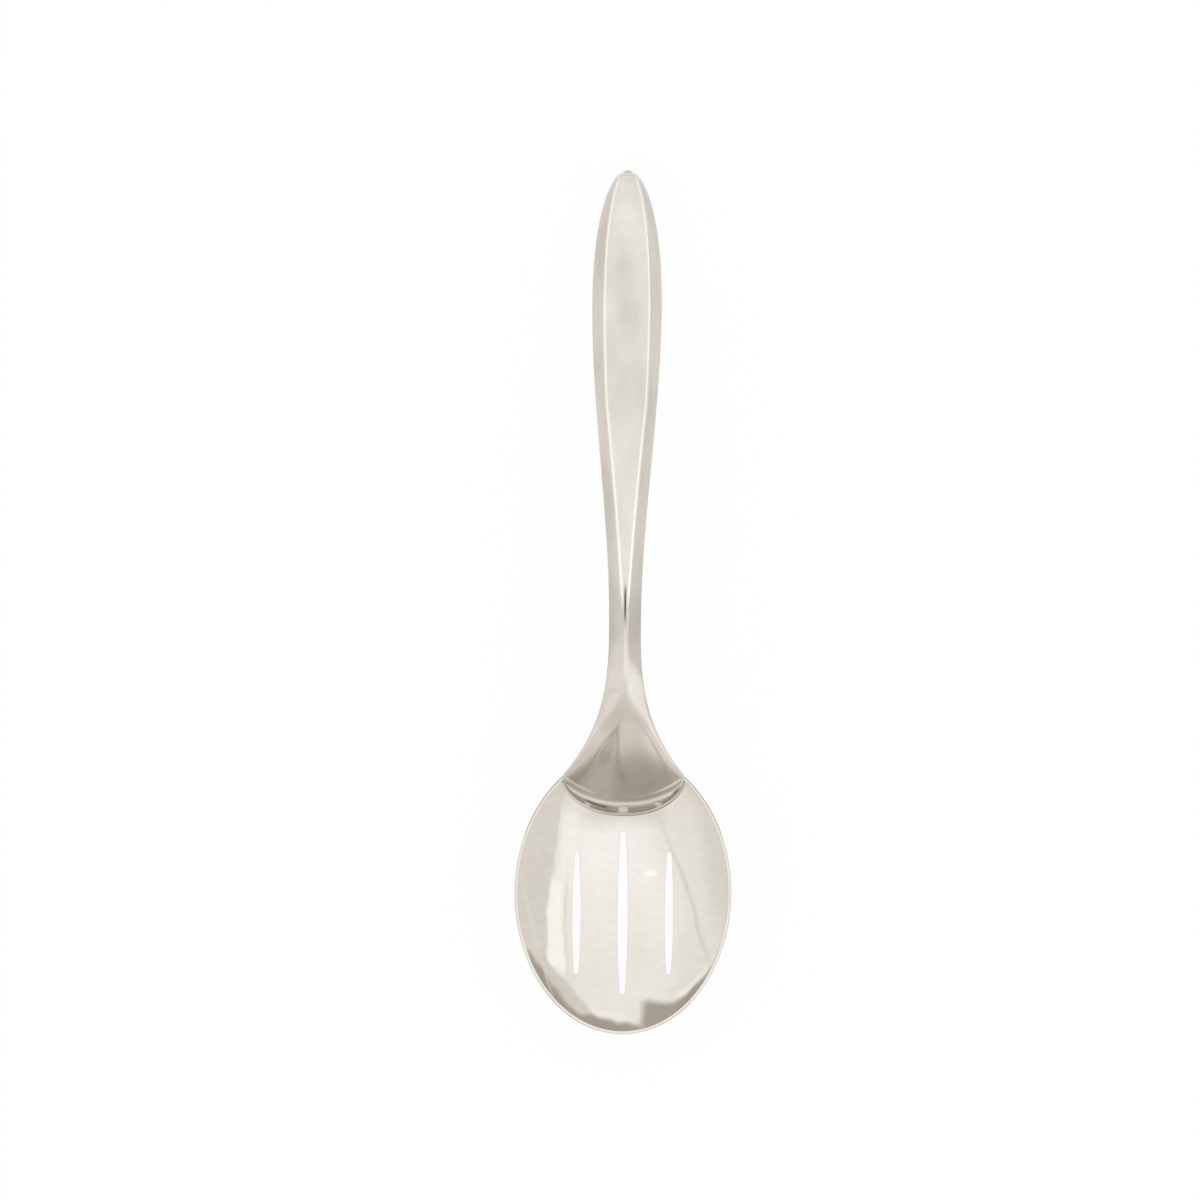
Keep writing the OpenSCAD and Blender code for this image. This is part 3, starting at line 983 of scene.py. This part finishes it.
# %% Let the cloth hang in folds
# Because of the folds no edge in the tent is quite straight.
fold_scale, fold_detail, fold_reach = 3.0, 1.5, 0.08
folds = add_node(
    sky, "ShaderNodeTexNoise", {"Scale": fold_scale, "Detail": fold_detail},
    {"Vector": flat_disc.outputs["Vector"]})
fold_shift = add_node(
    sky, "ShaderNodeVectorMath",
    {"operation": "MULTIPLY_ADD", 1: (2 * fold_reach, 2 * fold_reach, 0),
     2: (-fold_reach, -fold_reach, 0)},
    {0: folds.outputs["Color"]})
place = add_node(
    sky, "ShaderNodeVectorMath", {"operation": "ADD"},
    {0: flat_disc.outputs["Vector"], 1: fold_shift.outputs["Vector"]}).outputs["Vector"]

# %% Hang the tent
# Each stop is a distance from the middle of the disc and the colour there. Straight above,
# where the camera looks through, the tent is a little duller.
tent_reach = 1.5
tent = [(0.0, "#D0D0CF"), (0.03, "#D8D8D7"), (0.06, "#EDEFF1"), (0.5, "#EBEDEF"), (0.8, "#E4E5E7"),
        (1.1, "#DCDCDC"), (1.27, "#D4D3D1"), (1.33, "#A39F9A"), (1.5, "#938F88")]
from_middle = add_node(
    sky, "ShaderNodeVectorMath", {"operation": "LENGTH"}, {0: flat_disc.outputs["Vector"]})
share = add_node(
    sky, "ShaderNodeMath", {"operation": "DIVIDE", 1: tent_reach},
    {0: from_middle.outputs["Value"]})
tent_ramp = add_node(sky, "ShaderNodeValToRGB", {}, {"Fac": share.outputs["Value"]})
ramp = tent_ramp.color_ramp
while len(ramp.elements) < len(tent):
    ramp.elements.new(0.5)
for element, (at, colour) in zip(ramp.elements, tent):
    element.position = at / tent_reach
    element.color = linear(colour)
light = tent_ramp.outputs["Color"]
print(f"the tent's colour has {len(tent)} stops")

# %% Set up the panels and screens
# name: colour, amount, middle, half size, turn in degrees, width of the soft edge
studio = {
    "ceiling towards the handle": ("#E7E9EB", 0.9, (0.0, 0.62), (0.62, 0.34), 0, 0.35),
    "ceiling on the left": ("#E1E2E3", 0.8, (-1.22, 0.0), (0.47, 0.6), 0, 0.4),
    "left wall": ("#D2D2D1", 0.8, (-1.34, -0.4), (0.3, 0.5), 12, 0.5),
    "bright front ceiling": ("#F1F4F8", 0.9, (0.2, -0.36), (0.5, 0.24), 0, 0.7),
    "front screen": ("#D6D5D3", 1.0, (0.0, -0.92), (0.5, 0.36), 0, 0.3),
    "front end": ("#DEDEDD", 0.9, (0.0, -1.35), (0.45, 0.15), 0, 0.4),
    "side wall": ("#D3D3D2", 1.0, (1.36, -0.1), (0.44, 0.95), -9, 0.03),
    "side window": ("#F5F7FA", 0.95, (0.86, 0.2), (0.1, 0.34), -4, 0.3),
    "lower side window": ("#F1F3F6", 0.7, (0.7, -0.36), (0.1, 0.24), -4, 0.4),
    "window bar": ("#D6D6D5", 0.6, (0.72, 0.2), (0.012, 0.4), -4, 0.6),
    "far light strip": ("#EEF0F2", 0.8, (0.22, 0.96), (0.42, 0.04), -6, 0.6),
    "far wall": ("#D2D1CF", 0.9, (0.25, 1.04), (0.6, 0.06), -9, 0.3),
    "far corner wall": ("#CBCAC8", 0.9, (0.74, 0.79), (0.5, 0.1), -43, 0.2),
    "far corner light": ("#F0F2F4", 0.8, (-0.93, 0.68), (0.36, 0.05), 33, 0.7),
    "dark far end": ("#A09C95", 1.0, (0.2, 1.205), (0.95, 0.2), -9, 0.12),
    "dark far corner": ("#9F9B94", 1.0, (1.0, 0.85), (0.53, 0.2), -43, 0.15),
    "dark near corner": ("#9F9B94", 1.0, (-1.02, 0.875), (0.6, 0.2), 36, 0.15),
    "tripod": ("#A39F98", 1.0, (-0.52, 0.945), (0.25, 0.13), 2, 0.3),
    "skirting": ("#DEDEDD", 0.6, (1.1, 0.35), (0.012, 0.42), 22, 0.8),
    "dark doorway": ("#99948C", 0.9, (-0.12, -1.1), (0.26, 0.12), 0, 0.7),
    "door post": ("#8E8A83", 0.7, (0.05, -0.93), (0.012, 0.2), -11, 0.7),
    "second door post": ("#8E8A83", 0.7, (0.1, -0.97), (0.01, 0.18), 4, 0.7),
    "left lamp stand": ("#C2C1BF", 0.5, (-0.86, 0.05), (0.02, 0.6), 31, 0.8),
    "far window": ("#E8EAEC", 0.9, (0.0, 1.32), (0.3, 0.13), 0, 0.2),
    "low lamp": ("#FFFFFF", 1.0, (-0.34, -0.165), (0.085, 0.018), 0, 0.6),
}
for colour, amount, middle, half, turn, soft in studio.values():
    local = add_node(
        sky, "ShaderNodeMapping",
        {"vector_type": "TEXTURE", "Location": (*middle, 0),
         "Rotation": (0, 0, math.radians(turn)), "Scale": (*half, 1)},
        {"Vector": place})
    size = add_node(
        sky, "ShaderNodeVectorMath", {"operation": "ABSOLUTE"}, {0: local.outputs["Vector"]})
    sides = add_node(sky, "ShaderNodeSeparateXYZ", {}, {"Vector": size.outputs["Vector"]})
    far = add_node(
        sky, "ShaderNodeMath", {"operation": "SMOOTH_MAX", 2: soft},
        {0: sides.outputs["X"], 1: sides.outputs["Y"]})
    cover = add_node(
        sky, "ShaderNodeMapRange",
        {"interpolation_type": "SMOOTHSTEP", "From Min": 1 + soft, "From Max": 1 - soft,
         "To Max": amount},
        {"Value": far.outputs["Value"]})
    hung = add_node(
        sky, "ShaderNodeMix", {"data_type": "RGBA", "B": linear(colour)},
        {"Factor": cover.outputs["Result"], "A": light})
    light = hung.outputs["Result"]
print("panels and screens:", ", ".join(studio))

# %% Crease the cloth and light the studio
# The fine creases are no more than two hundredths duller or brighter than the rest.
crease_scale, crease_bend, crease_detail = 3.6, 11.0, 2.5
crease_dull, crease_bright = 0.98, 1.015
studio_strength = 1.5
creases = add_node(
    sky, "ShaderNodeTexWave",
    {"bands_direction": "Y", "Scale": crease_scale, "Distortion": crease_bend,
     "Detail": crease_detail},
    {"Vector": place})
crease_light = add_node(
    sky, "ShaderNodeMapRange", {"To Min": crease_dull, "To Max": crease_bright},
    {"Value": creases.outputs["Fac"]})
creased = add_node(
    sky, "ShaderNodeVectorMath", {"operation": "SCALE"},
    {"Vector": light, "Scale": crease_light.outputs["Result"]})
glow = add_node(
    sky, "ShaderNodeBackground", {"Strength": studio_strength},
    {"Color": creased.outputs["Vector"]})
add_node(sky, "ShaderNodeOutputWorld", {}, {"Surface": glow.outputs["Background"]})
print(f"the studio shines at {studio_strength}")

# %% [markdown]
# ## The table
# The spoon lies on white paper that is lit until it is all but blown out. So most of what
# the camera and the steel see of it is plain white, and only the rest is matte paper that
# takes the faint shadow of the spoon.

# %% Lay the white table
table_half, table_z, shown_share = 6.0, -0.05 * MM, 0.93
table_mesh = bpy.data.meshes.new("white_table")
table_mesh.from_pydata(
    [(-table_half, -table_half, table_z), (table_half, -table_half, table_z),
     (table_half, table_half, table_z), (-table_half, table_half, table_z)],
    [], [(0, 1, 2, 3)])
table = bpy.data.objects.new("white_table", table_mesh)
bpy.context.collection.objects.link(table)
paper = bpy.data.materials.new("white_paper")
paper.use_nodes = True
tree = paper.node_tree
tree.nodes.clear()
matte = add_node(tree, "ShaderNodeBsdfDiffuse", {"Color": linear("#F4F3F1")})
glow = add_node(tree, "ShaderNodeEmission", {"Color": (1, 1, 1, 1), "Strength": 1.0})
path = add_node(tree, "ShaderNodeLightPath")
direct = add_node(
    tree, "ShaderNodeMath", {"operation": "MAXIMUM"},
    {0: path.outputs["Is Camera Ray"], 1: path.outputs["Is Glossy Ray"]})
any_look = add_node(
    tree, "ShaderNodeMath", {"operation": "MAXIMUM"},
    {0: direct.outputs["Value"], 1: path.outputs["Is Transmission Ray"]})
shown = add_node(
    tree, "ShaderNodeMath", {"operation": "MULTIPLY", 1: shown_share},
    {0: any_look.outputs["Value"]})
paper_mix = add_node(
    tree, "ShaderNodeMixShader", {},
    {0: shown.outputs["Value"], 1: matte.outputs["BSDF"], 2: glow.outputs["Emission"]})
add_node(tree, "ShaderNodeOutputMaterial", {}, {"Surface": paper_mix.outputs["Shader"]})
table_mesh.materials.append(paper)
print(f"the paper is {2 * table_half:.0f} m wide and {shown_share:.0%} plain white")

# %% [markdown]
# ## The camera
# The picture was taken from straight above with a long lens, so the spoon shows its plan.
# In the photo it leans a little, and the camera is turned by as much.

# %% Set up the camera
photo_size = 1200
mm_per_pixel = 0.293
spoon_middle_pixel = (625.0, 601.5)
view_width = photo_size * mm_per_pixel * MM
camera_height = 1.8
sensor_width, photo_lean = 36.0, 0.4
camera_data = bpy.data.cameras.new("camera")
camera_data.sensor_width = sensor_width
camera_data.lens = sensor_width * camera_height / view_width
camera = bpy.data.objects.new("camera", camera_data)
bpy.context.collection.objects.link(camera)
camera.location = (
    (photo_size / 2 - spoon_middle_pixel[0]) * mm_per_pixel * MM,
    (spoon_middle_pixel[1] - photo_size / 2) * mm_per_pixel * MM,
    camera_height + bowl_h,
)
camera.rotation_euler = (0, 0, math.radians(photo_lean))
bpy.context.scene.camera = camera
bpy.context.scene.view_settings.view_transform = "Standard"
print(f"lens {camera_data.lens:.0f} mm at {camera_height} m")
